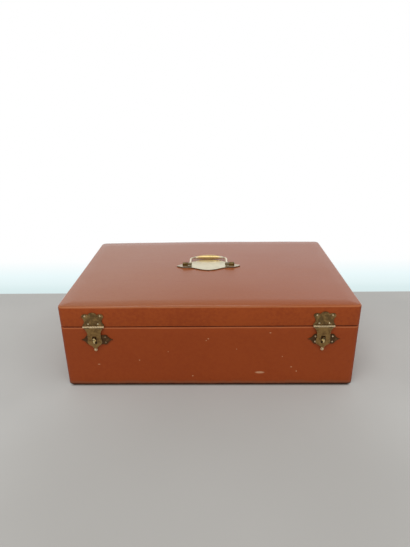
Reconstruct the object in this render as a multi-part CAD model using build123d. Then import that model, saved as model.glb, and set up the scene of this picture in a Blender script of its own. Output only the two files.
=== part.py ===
from build123d import *
import os
from math import asin, atan, degrees

# Millimetres. The origin is the middle of the underside, +X is right, +Y is the back.

# Case body
case_width = 430.0
case_depth = 282.0
base_height = 99.4
lid_height = 32.5
lid_crown = 2.2
corner_radius = 8.0
lid_edge_radius = 2.5
base_rim_radius = 1.8
lid_rim_radius = 1.2
underside_edge_radius = 1.0
seam_gap = 0.3

# How far a cut runs past a face, and a fused piece runs into the one that carries it
overrun = 1.0

# Boards, covers and linings
leather = 1.2
wall_board = 8.0
bottom_board = 6.0
top_board = 5.0
bottom_turn_in = 14.0
cover_gap = 0.3
wall_lining = 2.5
floor_lining = 2.0
lid_lining = 3.0
lid_wall_lining = 2.0
lip_height = 6.0
lip_gap = 0.5
soft_gap = 0.3

# Fitted inside
rail_height = 58.0
rail_thickness = 12.0
rail_inset = 67.3
rail_end_margin = 7.25
lane_count = 12
lane_width = 9.0
lane_depth = 36.0
finger_chamfer = 2.0
compartment_width = 138.3
partition_thickness = 6.0
partition_height = 64.0

# Hasp latches, measured from the middle of each latch and a level just above the seam
latch_inset = 51.0
latch_shift = -1.0
latch_rise = 1.2
plate_thickness = 1.0
hasp_length = 30.4
hasp_plate_rise = 22.5
hasp_shoulder = 1.4
hasp_reach = 36.6
hasp_ball_radius = 2.4
hasp_ball_dome = 1.9
hasp_knuckle_radius = 1.4
hasp_middle_knuckle = 12.2
hasp_pin_radius = 0.65
hasp_axis_drop = 0.15
hasp_face_gap = 0.3
leaf_thickness = 1.2
leaf_stand_off = 0.1
slot_width = 6.3
slot_length = 12.4
slot_corner = 1.2
button_drop = 21.0
catch_plate_length = 46.0
catch_plate_height = 14.8
catch_plate_drop = 21.3
catch_plate_shift_left = 3.0
catch_plate_shift_right = 1.5
running_gap = 0.05
knuckle_gap = 0.15
nail_head_radius = 1.35
nail_head_height = 0.8
nail_head_sides = 8
nail_head_slope = 38.0
nail_shank = 0.9
nail_length = 7.0
drill_gap = 0.02

# Turn buttons
button_neck_radius = 2.2
button_spindle_radius = 1.3
wing_length = 8.5
wing_height = 4.0
wing_thickness = 2.4
wing_shoulder = 1.2
wing_gap = 0.2
neck_in_wing = 0.6
spindle_in_neck = 0.2
spindle_in_rivet = 0.1
rivet_radius = 3.0
rivet_height = 1.2
rivet_recess = 1.6

# Stop hinges at the back
hinge_inset = 75.0
hinge_length = 50.0
hinge_knuckles = 5
hinge_barrel_radius = 3.0
hinge_pin_radius = 1.5
hinge_leaf_thickness = 1.3
hinge_leaf_reach = 8.5
hinge_leaf_gap = 0.1
hinge_back_gap = 0.3
lid_opening = 95.0
stop_reach = 9.5
stop_thickness = 1.8
stop_gap = 0.05
screw_spacing = 18.0
screw_head_radius = 2.4
screw_shank_radius = 1.3
screw_length = 12.0
screw_sides = 8

# Carrying handle on the lid
handle_x = -1.5
handle_y = 5.5
handle_plate_length = 108.0
handle_plate_front = 20.0
handle_plate_back = 28.0
handle_lobe_reach = 7.0
handle_plate_thickness = 1.5
boss_radius = 2.8
boss_length = 9.2
boss_end_inset = 10.0
bail_inset = 3.8
bail_reach = 32.0
bail_corner_radius = 7.0
bail_leg_radius = 1.7
bail_grip_radius = 3.8
bail_elbow_radius = 2.3
bail_elbow_overhang = 2.6
bail_stub_radius = 1.3
grip_inset = 0.6
grip_shoulder = 0.3
stud_radius = 2.0
nut_radius = 4.0
nut_height = 2.6
washer_radius = 5.0
washer_height = 0.8
nut_pocket_radius = 5.6
nut_pocket_depth = 2.0

# Right-hand outlines of the fittings, in shares of half the width and of the height or reach
hasp_plate_shape = [
    (0, 1), (0.25, 0.956), (0.421, 0.831), (0.763, 0.889), (0.98, 0.818), (1.02, 0.702), (0.921, 0.596),
    (0.829, 0.391), (0.921, 0.196), (0.987, 0.133), (1, 0.04),
]
hasp_leaf_shape = [
    (0.711, -0.164), (0.625, -0.342), (0.638, -0.505), (0.691, -0.656), (0.592, -0.754), (0.382, -0.82),
    (0.257, -0.863), (0.158, -0.94),
]
catch_plate_shape = [(0.413, 1), (0.583, 1.03), (0.687, 0.73), (0.809, 0.257), (1, 0)]
handle_front_shape = [(0, 1), (0.16, 0.92), (0.3, 0.76), (0.46, 0.52), (0.64, 0.36)]
handle_back_shape = [(0, 1), (0.18, 0.96), (0.36, 0.84), (0.52, 0.64), (0.66, 0.3)]

# Worked out from the sizes above
lid_bottom = base_height + seam_gap
lid_corner_top = base_height + lid_height
lid_top = lid_corner_top + lid_crown
carcass_width = case_width - 2 * leather
carcass_depth = case_depth - 2 * leather
carcass_radius = corner_radius - leather
inner_width = carcass_width - 2 * wall_board
inner_depth = carcass_depth - 2 * wall_board
base_board_top = base_height - leather
lid_board_bottom = lid_bottom + leather
lid_panel_bottom = lid_corner_top - leather - top_board
floor_top = leather + bottom_board + floor_lining
lined_width = inner_width - 2 * wall_lining
lined_depth = inner_depth - 2 * wall_lining
front_face = -case_depth / 2
rail_half_spacing = lined_depth / 2 - rail_inset
partition_x = lined_width / 2 - compartment_width - partition_thickness / 2
rail_start = -lined_width / 2 + cover_gap
rail_end = partition_x - partition_thickness / 2 - cover_gap
lane_pitch = (rail_end - rail_start - 2 * rail_end_margin) / lane_count
latch_level = base_height + latch_rise
hasp_axis_z = latch_level - hasp_axis_drop
hasp_axis_out = hasp_face_gap + hasp_knuckle_radius
leaf_back = hasp_axis_out + leaf_stand_off
leaf_front = leaf_back + leaf_thickness
button_z = latch_level - button_drop
latch_offset = case_width / 2 - latch_inset
latch_centres = {
    "left": latch_shift - latch_offset,
    "right": latch_shift + latch_offset,
}
catch_plate_centres = {
    "left": latch_centres["left"] + catch_plate_shift_left,
    "right": latch_centres["right"] + catch_plate_shift_right,
}
lid_nail_points = [
    (side * across * hasp_length / 2, up * hasp_plate_rise)
    for across, up in ((0.717, 0.764), (0.467, 0.196)) for side in (-1, 1)
]
catch_nail_points = [
    (side * 0.53 * catch_plate_length / 2, up * 0.58 * catch_plate_height / 2 - catch_plate_drop)
    for up in (1, -1) for side in (-1, 1)
]
hinge_axis_y = case_depth / 2 + hinge_back_gap + hinge_barrel_radius
hinge_axis_z = base_height + seam_gap / 2
hinge_centres = {"left": hinge_inset - case_width / 2, "right": case_width / 2 - hinge_inset}
leaf_floor = hinge_leaf_gap + hinge_leaf_thickness
screw_y = case_depth / 2 - leather - wall_board / 2
handle_axis_z = lid_top + handle_plate_thickness + boss_radius
boss_outer = handle_plate_length / 2 - boss_end_inset
boss_inner = boss_outer - boss_length
boss_middle = (boss_inner + boss_outer) / 2
bail_half_width = boss_inner - bail_inset


def upright_block(width, depth, bottom, top, radius):
    """A block with rounded upright corners, centred on the case."""
    return Pos(0, 0, bottom) * extrude(RectangleRounded(width, depth, radius), top - bottom)


def slab(x_range, y_range, z_range):
    """A plain block between three pairs of limits."""
    size = [high - low for low, high in (x_range, y_range, z_range)]
    middle = [(low + high) / 2 for low, high in (x_range, y_range, z_range)]
    return Pos(*middle) * Box(*size)


def ring(outer_width, outer_depth, wall, bottom, top):
    """Four strips round a rectangle: front, back, left and right, each its own solid."""
    half_width = outer_width / 2
    half_depth = outer_depth / 2
    inner_x = half_width - wall
    inner_y = half_depth - wall
    return {
        "front": slab((-half_width, half_width), (-half_depth, -inner_y), (bottom, top)),
        "back": slab((-half_width, half_width), (inner_y, half_depth), (bottom, top)),
        "left": slab((-half_width, -inner_x), (-inner_y, inner_y), (bottom, top)),
        "right": slab((inner_x, half_width), (-inner_y, inner_y), (bottom, top)),
    }


def front_plane(centre_x, height, outward=0.0):
    """Drawing plane on the front face: x is right, y is up and z points out of the case."""
    origin = (centre_x, front_face - outward, height)
    return Plane(origin=origin, x_dir=(1, 0, 0), z_dir=(0, -1, 0))


def arc_chain(points, half_width, height):
    """Arcs through an outline's points, two steps to an arc, at their real size."""
    sized = [(across * half_width, up * height) for across, up in points]
    return [ThreePointArc(*sized[index:index + 3]) for index in range(0, len(sized) - 2, 2)]


def mirrored_face(half_outline):
    """Close a right-hand half outline with its mirror image."""
    right = Curve() + half_outline
    return make_face(right + mirror(right, about=Plane.YZ))


def bar_along_x(radius, start, end, y, z):
    """Round bar along X."""
    return Pos((start + end) / 2, y, z) * Rot(Y=90) * Cylinder(radius, abs(end - start))


def pin_outward(plane, point, radius, start, end):
    """Round bar square to the front face, from one distance out of it to another."""
    return plane * Pos(point[0], point[1], (start + end) / 2) * Cylinder(radius, end - start)


def upright_pin(x, y, radius, bottom, top):
    """Round upright bar."""
    return Pos(x, y, (bottom + top) / 2) * Cylinder(radius, top - bottom)


# Latch fastenings and what they pass through

def peg_outward(plane, point, width, start, end):
    """Square bar square to the front face, from one distance out of it to another."""
    return plane * Pos(point[0], point[1], (start + end) / 2) * Box(width, width, end - start)


def lid_nail_plane(side):
    """Where the hasp plate's outline and nails are drawn."""
    return front_plane(latch_centres[side], latch_level)


def catch_nail_plane(side):
    """Where the catch plate's outline and nails are drawn, a little off the hasp's middle."""
    return front_plane(catch_plate_centres[side], latch_level)


def nail_holes(plane, points):
    """Holes for the nails of one latch plate."""
    width = nail_shank + 2 * drill_gap
    start = plate_thickness - nail_length - drill_gap
    return [peg_outward(plane, point, width, start, plate_thickness + overrun) for point in points]


def lid_nail_holes():
    """Holes for the nails of both hasp plates."""
    return [hole for side in latch_centres for hole in nail_holes(lid_nail_plane(side), lid_nail_points)]


def catch_nail_holes():
    """Holes for the nails of both catch plates."""
    return [hole for side in latch_centres for hole in nail_holes(catch_nail_plane(side), catch_nail_points)]


def latch_nails(plane, points):
    """Square-shanked nails of one plate, their heads hammered to low points."""
    nails = []
    for point in points:
        seat = plane * Pos(point[0], point[1], plate_thickness)
        head_outline = RegularPolygon(nail_head_radius, nail_head_sides)
        head = seat * extrude(head_outline, nail_head_height, taper=nail_head_slope)
        start = plate_thickness - nail_length
        nails.append(head + peg_outward(plane, point, nail_shank, start, plate_thickness + drill_gap))
    return nails


def spindle_holes():
    """Round ways through the front for both turn buttons, with a recess for the rivet."""
    holes = []
    for centre_x in latch_centres.values():
        plane = front_plane(centre_x, button_z)
        inner_face = -(leather + wall_board)
        radius = button_spindle_radius + running_gap
        holes.append(pin_outward(plane, (0, 0), radius, inner_face - overrun, plate_thickness + overrun))
        recess_radius = rivet_radius + soft_gap
        recess = (inner_face - overrun, inner_face + rivet_recess)
        holes.append(pin_outward(plane, (0, 0), recess_radius, *recess))
    return holes


def hinge_recesses(above):
    """Housings for the hinge leaves in one rim: the base's, or the lid's above it."""
    near = case_depth / 2 - hinge_leaf_reach - cover_gap
    if above:
        levels = (lid_bottom - overrun, hinge_axis_z + leaf_floor + drill_gap)
    else:
        levels = (hinge_axis_z - leaf_floor - drill_gap, base_height + overrun)
    half = hinge_length / 2 + cover_gap
    return [
        slab((x - half, x + half), (near, case_depth / 2 + overrun), levels) for x in hinge_centres.values()
    ]


def screw_places():
    """Where the hinge screws stand, three to a leaf."""
    steps = (-screw_spacing, 0, screw_spacing)
    return [(x + step, screw_y) for x in hinge_centres.values() for step in steps]


def screw_holes(above):
    """Pilot holes for the hinge screws, up into the lid or down into the base."""
    start = hinge_axis_z + (hinge_leaf_gap if above else -hinge_leaf_gap)
    end = start + (screw_length + drill_gap) * (1 if above else -1)
    radius = screw_shank_radius + drill_gap
    return [upright_pin(x, y, radius, min(start, end), max(start, end)) for x, y in screw_places()]


def stud_places():
    """Where the handle's studs pass through the lid."""
    return [(handle_x - boss_middle, handle_y), (handle_x + boss_middle, handle_y)]


def stud_holes(bottom, top):
    """Clear ways for the handle's studs."""
    return [upright_pin(x, y, stud_radius + cover_gap, bottom, top) for x, y in stud_places()]


# Base

def base_boards():
    """Four wall boards with the outer corners rounded, and the bottom let in between them."""
    carcass = upright_block(carcass_width, carcass_depth, leather, base_board_top, carcass_radius)
    walls = ring(carcass_width, carcass_depth, wall_board, leather, base_board_top)
    boards = {f"base_{name}_board": carcass & wall for name, wall in walls.items()}
    boards["base_front_board"] -= catch_nail_holes() + spindle_holes()
    boards["base_back_board"] -= hinge_recesses(False) + screw_holes(False)
    half_width = inner_width / 2
    half_depth = inner_depth / 2
    boards["base_bottom_board"] = slab(
        (-half_width, half_width), (-half_depth, half_depth), (leather, leather + bottom_board)
    )
    return boards


def base_leather_wrap():
    """Leather round the walls, turned over the rim and under the bottom edge."""
    wrap = upright_block(case_width, case_depth, 0, base_height, corner_radius)
    wrap = fillet(wrap.edges().group_by(Axis.Z)[-1], base_rim_radius)
    wrap = fillet(wrap.edges().group_by(Axis.Z)[0], underside_edge_radius)
    wrap -= upright_block(carcass_width, carcass_depth, leather, base_board_top, carcass_radius)
    wrap -= slab(
        (-inner_width / 2, inner_width / 2),
        (-inner_depth / 2, inner_depth / 2),
        (leather, base_height + overrun),
    )
    opening_width = case_width - 2 * bottom_turn_in
    opening_depth = case_depth - 2 * bottom_turn_in
    wrap -= upright_block(opening_width, opening_depth, -overrun, leather + overrun, corner_radius)
    return wrap - (catch_nail_holes() + spindle_holes() + hinge_recesses(False))


def base_bottom_cover():
    """Cloth panel pasted inside the turned-in leather, level with it."""
    width = case_width - 2 * bottom_turn_in - 2 * cover_gap
    depth = case_depth - 2 * bottom_turn_in - 2 * cover_gap
    return upright_block(width, depth, 0, leather, corner_radius)


def base_wall_lining():
    """Lined card on the four walls, whose top stands above the rim and centres the lid."""
    lip_top = base_height + lip_height
    strips = ring(inner_width, inner_depth, wall_lining, leather + bottom_board, lip_top)
    lip_width = inner_width - 2 * lip_gap
    lip_depth = inner_depth - 2 * lip_gap
    below = slab(
        (-inner_width / 2, inner_width / 2), (-inner_depth / 2, inner_depth / 2), (0, base_height - leather)
    )
    lip = slab((-lip_width / 2, lip_width / 2), (-lip_depth / 2, lip_depth / 2), (0, lip_top))
    return [strip & (below + lip) for strip in strips.values()]


def base_floor_lining():
    """Velvet pad on the bottom board."""
    half_width = lined_width / 2 - cover_gap
    half_depth = lined_depth / 2 - cover_gap
    bottom = leather + bottom_board
    return slab((-half_width, half_width), (-half_depth, half_depth), (bottom, floor_top))


def rack_rail(y):
    """Notched rail that holds the flatware on edge, one lane to a piece."""
    middle = (rail_start + rail_end) / 2
    profile = Pos(middle, rail_height / 2) * Rectangle(rail_end - rail_start, rail_height)
    notch_bottom = rail_height - lane_depth
    for lane in range(lane_count):
        x = middle + (lane - (lane_count - 1) / 2) * lane_pitch
        profile -= Pos(x, notch_bottom + lane_width / 2) * Circle(lane_width / 2)
        straight = lane_depth - lane_width / 2
        profile -= Pos(x, rail_height - straight / 2) * Rectangle(lane_width, straight)
    tips = profile.vertices().group_by(Axis.Y)[-1]
    profile = chamfer(tips, min(finger_chamfer, (lane_pitch - lane_width) / 3))
    plane = Plane(origin=(0, y + rail_thickness / 2, floor_top), x_dir=(1, 0, 0), z_dir=(0, -1, 0))
    return extrude(plane * profile, rail_thickness)


def compartment_partition():
    """Upright divider with a rounded top, between the racks and the open compartment."""
    half = partition_thickness / 2
    outline = Pos(0, (partition_height - half) / 2) * Rectangle(partition_thickness, partition_height - half)
    outline += Pos(0, partition_height - half) * Circle(half)
    length = lined_depth - 2 * cover_gap
    plane = Plane(origin=(partition_x, length / 2, floor_top), x_dir=(1, 0, 0), z_dir=(0, -1, 0))
    return extrude(plane * outline, length)


# Lid

def lid_boards():
    """Four shallow wall boards under a flat panel."""
    carcass = upright_block(
        carcass_width, carcass_depth, lid_board_bottom, lid_corner_top - leather, carcass_radius
    )
    walls = ring(carcass_width, carcass_depth, wall_board, lid_board_bottom, lid_panel_bottom)
    boards = {f"lid_{name}_board": carcass & wall for name, wall in walls.items()}
    boards["lid_front_board"] -= lid_nail_holes()
    boards["lid_back_board"] -= hinge_recesses(True) + screw_holes(True)
    panel = upright_block(
        carcass_width, carcass_depth, lid_panel_bottom, lid_corner_top - leather, carcass_radius
    )
    panel -= stud_holes(lid_panel_bottom - overrun, lid_top)
    for x, y in stud_places():
        top = lid_panel_bottom + nut_pocket_depth
        panel -= upright_pin(x, y, nut_pocket_radius, lid_panel_bottom - overrun, top)
    boards["lid_top_panel"] = panel
    return boards


def lid_leather_wrap():
    """Leather over thin wadding: a crowned top, rounded edges and a rim turned inside."""
    crown_radius = ((case_width / 2) ** 2 + lid_crown ** 2) / (2 * lid_crown)
    block = upright_block(case_width, case_depth, lid_bottom, lid_top + overrun, corner_radius)
    crown = Pos(0, 0, lid_top - crown_radius) * Rot(X=90) * Cylinder(crown_radius, case_depth + 2 * overrun)
    wrap = block & crown
    top_face = wrap.faces().sort_by(Axis.Z)[-1]
    wrap = fillet(top_face.edges(), lid_edge_radius)
    wrap = fillet(wrap.faces().sort_by(Axis.Z)[0].edges(), lid_rim_radius)
    wrap -= upright_block(
        carcass_width, carcass_depth, lid_board_bottom, lid_corner_top - leather, carcass_radius
    )
    wrap -= slab(
        (-inner_width / 2, inner_width / 2),
        (-inner_depth / 2, inner_depth / 2),
        (lid_bottom - overrun, lid_board_bottom + overrun),
    )
    return wrap - (lid_nail_holes() + hinge_recesses(True) + stud_holes(lid_panel_bottom, lid_top + overrun))


def lid_wall_linings():
    """Lined card on the lid's walls, above the base's lip."""
    bottom = base_height + lip_height + soft_gap
    top = lid_panel_bottom - lid_lining
    return list(ring(inner_width, inner_depth, lid_wall_lining, bottom, top).values())


def lid_top_lining():
    """Velvet pad under the lid panel, hollowed for the handle's nuts."""
    half_width = inner_width / 2 - cover_gap
    half_depth = inner_depth / 2 - cover_gap
    bottom = lid_panel_bottom - lid_lining
    pad = slab((-half_width, half_width), (-half_depth, half_depth), (bottom, lid_panel_bottom))
    nut_bottom = lid_panel_bottom + nut_pocket_depth - washer_height - nut_height
    for x, y in stud_places():
        pad -= upright_pin(x, y, nut_pocket_radius, nut_bottom - soft_gap, lid_panel_bottom + overrun)
    return pad


# Stop hinges

def hinge_leaf(centre_x, own_knuckles, with_lid):
    """One leaf of a stop hinge: plate in the rim, knuckles, and the tail that meets the other's."""
    pitch = hinge_length / hinge_knuckles
    half = hinge_length / 2
    plate_end = -hinge_barrel_radius - 2 * knuckle_gap
    near = case_depth / 2 - hinge_leaf_reach - hinge_axis_y
    leaf = slab((-half, half), (near, plate_end), (-leaf_floor, -hinge_leaf_gap))
    tail_start = hinge_barrel_radius + 2 * knuckle_gap
    tail_turn = Rot(X=-lid_opening / 2)
    tail_levels = (-stop_gap - stop_thickness, -stop_gap)
    tail = slab((-half, half), (tail_start, stop_reach), tail_levels)
    tail = fillet(tail.edges().filter_by(Axis.X).group_by(Axis.Y)[-1], stop_thickness / 3)
    leaf += tail_turn * tail
    for index in own_knuckles:
        start = -half + index * pitch + knuckle_gap / 2
        end = start + pitch - knuckle_gap
        leaf += bar_along_x(hinge_barrel_radius, start, end, 0, 0)
        leaf += slab((start, end), (near, 0), (-leaf_floor, -hinge_leaf_gap))
        neck_start = hinge_barrel_radius / 2
        leaf += tail_turn * slab((start, end), (neck_start, tail_start + overrun), tail_levels)
    leaf -= bar_along_x(hinge_pin_radius + running_gap, -half - overrun, half + overrun, 0, 0)
    for step in (-screw_spacing, 0, screw_spacing):
        y = screw_y - hinge_axis_y
        leaf -= upright_pin(step, y, screw_shank_radius + drill_gap, -leaf_floor - overrun, 0)
        sink = Cone(screw_head_radius + drill_gap, screw_shank_radius + drill_gap, hinge_leaf_thickness)
        leaf -= Pos(step, y, -leaf_floor + hinge_leaf_thickness / 2) * Rot(X=180) * sink
    if with_lid:
        leaf = mirror(leaf, about=Plane.XY)
    return Pos(centre_x, hinge_axis_y, hinge_axis_z) * leaf


def hinge_screws(above):
    """Countersunk screws that hold one kind of leaf, their round sides in flats."""
    slope = degrees(atan((screw_head_radius - screw_shank_radius) / hinge_leaf_thickness))
    screws = []
    for x, y in screw_places():
        head = extrude(RegularPolygon(screw_head_radius, screw_sides), hinge_leaf_thickness, taper=slope)
        shank = extrude(RegularPolygon(screw_shank_radius, screw_sides), screw_length)
        screw = Pos(0, 0, -hinge_leaf_gap) * Rot(X=180) * (head + shank)
        if above:
            screw = mirror(screw, about=Plane.XY)
        screws.append(Pos(x, y, hinge_axis_z) * screw)
    return screws


# Hasp latches

def hasp_plate(side):
    """Scalloped plate on the lid with the two outer knuckles of the hasp."""
    centre_x = latch_centres[side]
    half = hasp_length / 2
    scallops = arc_chain(hasp_plate_shape, half, hasp_plate_rise)
    foot = scallops[-1] @ 1
    outline = mirrored_face(scallops + [
        Line(foot, (foot.X, seam_gap)),
        Line((foot.X, seam_gap), (0, seam_gap)),
    ])
    plate = extrude(lid_nail_plane(side) * outline, plate_thickness)
    axis_y = front_face - hasp_axis_out
    inner = hasp_middle_knuckle / 2 + knuckle_gap
    web_z = (latch_level + seam_gap, hasp_axis_z + hasp_knuckle_radius)
    for start, end in ((-half, -inner), (inner, half)):
        plate += bar_along_x(hasp_knuckle_radius, centre_x + start, centre_x + end, axis_y, hasp_axis_z)
        web_y = (axis_y, front_face - plate_thickness / 2)
        plate += slab((centre_x + start, centre_x + end), web_y, web_z)
    clear = hasp_knuckle_radius + knuckle_gap
    plate -= bar_along_x(clear, centre_x - inner, centre_x + inner, axis_y, hasp_axis_z)
    bore = hasp_pin_radius + running_gap
    plate -= bar_along_x(bore, centre_x - half - overrun, centre_x + half + overrun, axis_y, hasp_axis_z)
    return plate - nail_holes(lid_nail_plane(side), lid_nail_points)


def hasp_leaf(side):
    """Shield-shaped leaf with its knuckle, slot and the ball at its point."""
    centre_x = latch_centres[side]
    top = -hasp_axis_drop - hasp_knuckle_radius - knuckle_gap
    half = hasp_length / 2
    shoulder = ((half - hasp_shoulder) / half, top / hasp_reach)
    shield = arc_chain([shoulder] + hasp_leaf_shape, half, hasp_reach)
    tip = shield[-1] @ 1
    outline = mirrored_face(
        [Line((0, top), (half - hasp_shoulder, top))] + shield + [Line(tip, (0, tip.Y))]
    )
    leaf = extrude(outline, leaf_thickness)
    ball_place = Pos(0, -hasp_reach)
    leaf += ball_place * extrude(Circle(hasp_ball_radius), leaf_thickness)
    front_half = Pos(0, 0, leaf_thickness / 2 + hasp_ball_radius) * Box(*[2 * hasp_ball_radius] * 3)
    leaf += ball_place * ((Pos(0, 0, leaf_thickness / 2) * Sphere(hasp_ball_dome)) & front_half)
    slot = extrude(RectangleRounded(slot_width, slot_length, slot_corner), 3 * leaf_thickness)
    leaf -= Pos(0, -button_drop, -leaf_thickness) * slot
    leaf = front_plane(centre_x, latch_level, leaf_back) * leaf
    axis_y = front_face - hasp_axis_out
    half = hasp_middle_knuckle / 2
    leaf += bar_along_x(hasp_knuckle_radius, centre_x - half, centre_x + half, axis_y, hasp_axis_z)
    neck_y = (front_face - leaf_front, front_face - leaf_back)
    neck_z = (latch_level + top - overrun, hasp_axis_z)
    leaf += slab((centre_x - half, centre_x + half), neck_y, neck_z)
    bore = hasp_pin_radius + running_gap
    return leaf - bar_along_x(bore, centre_x - half - overrun, centre_x + half + overrun, axis_y, hasp_axis_z)


def hasp_pin(side):
    """Pin through the hasp's knuckles."""
    centre_x = latch_centres[side]
    half = hasp_length / 2
    axis_y = front_face - hasp_axis_out
    return bar_along_x(hasp_pin_radius, centre_x - half, centre_x + half, axis_y, hasp_axis_z)


def catch_plate(side):
    """Plate behind the hasp with a pointed ear at each side."""
    ear = arc_chain(catch_plate_shape, catch_plate_length / 2, catch_plate_height / 2)
    shoulder = ear[0] @ 0
    right = Curve() + ([Line((0, shoulder.Y), shoulder)] + ear)
    top = right + mirror(right, about=Plane.YZ)
    outline = make_face(top + mirror(top, about=Plane.XZ))
    plate = extrude(catch_nail_plane(side) * Pos(0, -catch_plate_drop) * outline, plate_thickness)
    bore = button_spindle_radius + running_gap
    plane = front_plane(latch_centres[side], button_z)
    plate -= pin_outward(plane, (0, 0), bore, -overrun, plate_thickness + overrun)
    return plate - nail_holes(catch_nail_plane(side), catch_nail_points)


def turn_button(side):
    """Thumb-turn wing on a neck, with a spindle riveted inside the front board."""
    plane = front_plane(latch_centres[side], button_z)
    wing_back = leaf_front + wing_gap
    inner_face = -(leather + wall_board)
    rivet_seat = inner_face + rivet_recess
    neck_end = wing_back + neck_in_wing
    button = pin_outward(plane, (0, 0), button_neck_radius, plate_thickness + running_gap, neck_end)
    spindle_start = rivet_seat - spindle_in_rivet
    spindle_end = plate_thickness + spindle_in_neck
    button += pin_outward(plane, (0, 0), button_spindle_radius, spindle_start, spindle_end)
    rivet_end = rivet_seat - drill_gap
    button += pin_outward(plane, (0, 0), rivet_radius, rivet_end - rivet_height, rivet_end)
    half = wing_length / 2
    flat = half - wing_shoulder
    low = wing_height * 0.45
    high = wing_height * 0.85
    wing_outline = mirrored_face([
        Line((0, 0), (flat, 0)),
        ThreePointArc((flat, 0), (half, low), (flat, high)),
        ThreePointArc((flat, high), (flat / 2, wing_height * 0.97), (0, wing_height)),
    ])
    wing = extrude(wing_outline, wing_thickness / 2, both=True)
    wing_plane = Plane(
        origin=(latch_centres[side], front_face - wing_back, button_z), x_dir=(0, 0, 1), z_dir=(1, 0, 0)
    )
    return button + wing_plane * wing


# Carrying handle

def handle_plate_edge(shape, reach, lobe_reach):
    """Edge from the point at the front or back of the middle round to the end of the lobe."""
    half = handle_plate_length / 2
    slope = arc_chain(shape, half, reach)
    return slope + [
        ThreePointArc(slope[-1] @ 1, (half * 0.8, lobe_reach), (half, 0)),
    ]


def handle_plate():
    """Lozenge plate, fuller and longer behind the bosses, with a pointed lobe at each end."""
    front = Curve() + handle_plate_edge(handle_front_shape, -handle_plate_front, -handle_lobe_reach)
    back = Curve() + handle_plate_edge(handle_back_shape, handle_plate_back, handle_lobe_reach)
    right = front + back
    outline = make_face(right + mirror(right, about=Plane.YZ))
    plate = extrude(Pos(handle_x, handle_y, lid_top) * outline, handle_plate_thickness)
    return plate - stud_holes(lid_top - overrun, lid_top + handle_plate_thickness + overrun)


def handle_boss(direction):
    """Round-topped boss that carries one end of the bail, with its stud down through the lid."""
    height = boss_radius
    profile = Pos(0, height) * Circle(boss_radius)
    profile += Pos(0, height / 2) * Rectangle(2 * boss_radius, height)
    plane = Plane(origin=(boss_inner, 0, 0), x_dir=(0, 1, 0), z_dir=(1, 0, 0))
    boss = extrude(plane * profile, boss_outer - boss_inner)
    outer_edges = boss.faces().sort_by(Axis.X)[-1].edges().filter_by(GeomType.CIRCLE)
    boss = fillet(outer_edges, boss_radius * 0.5)
    boss -= bar_along_x(
        bail_stub_radius + running_gap, boss_inner - overrun, boss_outer - boss_radius / 2, 0, height
    )
    nut_bottom = lid_panel_bottom + nut_pocket_depth - washer_height - nut_height
    stud_bottom = nut_bottom - lid_top - handle_plate_thickness
    boss += upright_pin(boss_middle, 0, stud_radius, stud_bottom, 0.5)
    if direction < 0:
        boss = mirror(boss, about=Plane.YZ)
    return Pos(handle_x, handle_y, lid_top + handle_plate_thickness) * boss


def handle_washers():
    """Washers under the lid panel."""
    top = lid_panel_bottom + nut_pocket_depth
    washers = []
    for x, y in stud_places():
        washer = upright_pin(x, y, washer_radius, top - washer_height, top)
        bottom = top - washer_height - overrun
        washers.append(washer - upright_pin(x, y, stud_radius + running_gap, bottom, top + overrun))
    return washers


def handle_nuts():
    """Hexagon nuts on the studs."""
    top = lid_panel_bottom + nut_pocket_depth - washer_height
    nuts = []
    for x, y in stud_places():
        nut = Pos(x, y, top - nut_height) * extrude(RegularPolygon(nut_radius, 6), nut_height)
        bottom = top - nut_height - overrun
        nuts.append(nut - upright_pin(x, y, stud_radius + running_gap, bottom, top + overrun))
    return nuts


def handle_bail():
    """Bail with a swelled grip, round corners, and cross barrels that turn in the bosses."""
    straight_end = bail_half_width - bail_corner_radius
    leg_length = bail_reach - bail_corner_radius
    leg = Pos(bail_half_width, leg_length / 2, 0) * Rot(X=90) * Cylinder(bail_leg_radius, leg_length)
    corner_section = Plane(origin=(bail_half_width, leg_length, 0), z_dir=(0, 1, 0)) * Circle(bail_leg_radius)
    leg += revolve(corner_section, Axis((straight_end, leg_length, 0), (0, 0, 1)), 90)
    leg += bar_along_x(bail_leg_radius, straight_end - 2 * grip_inset, straight_end, bail_reach, 0)
    barrel_start = bail_half_width - bail_elbow_overhang
    leg += bar_along_x(bail_elbow_radius, barrel_start, boss_inner - knuckle_gap, 0, 0)
    stub_end = boss_outer - boss_radius / 2 - soft_gap
    leg += bar_along_x(bail_stub_radius, bail_half_width, stub_end, 0, 0)
    grip_half = straight_end - grip_inset
    grip_end_radius = bail_leg_radius + grip_shoulder
    grip_profile = make_face(Curve() + [
        Line((-grip_half, 0), (-grip_half, grip_end_radius)),
        ThreePointArc((-grip_half, grip_end_radius), (0, bail_grip_radius), (grip_half, grip_end_radius)),
        Line((grip_half, grip_end_radius), (grip_half, 0)),
        Line((grip_half, 0), (-grip_half, 0)),
    ])
    grip = Pos(0, bail_reach, 0) * revolve(grip_profile, Axis.X)
    bail = grip + leg + mirror(leg, about=Plane.YZ)
    grip_height = bail_grip_radius + soft_gap
    lay_down = degrees(asin((grip_height - (handle_axis_z - lid_top)) / bail_reach))
    return Pos(handle_x, handle_y, handle_axis_z) * Rot(X=lay_down) * bail


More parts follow.
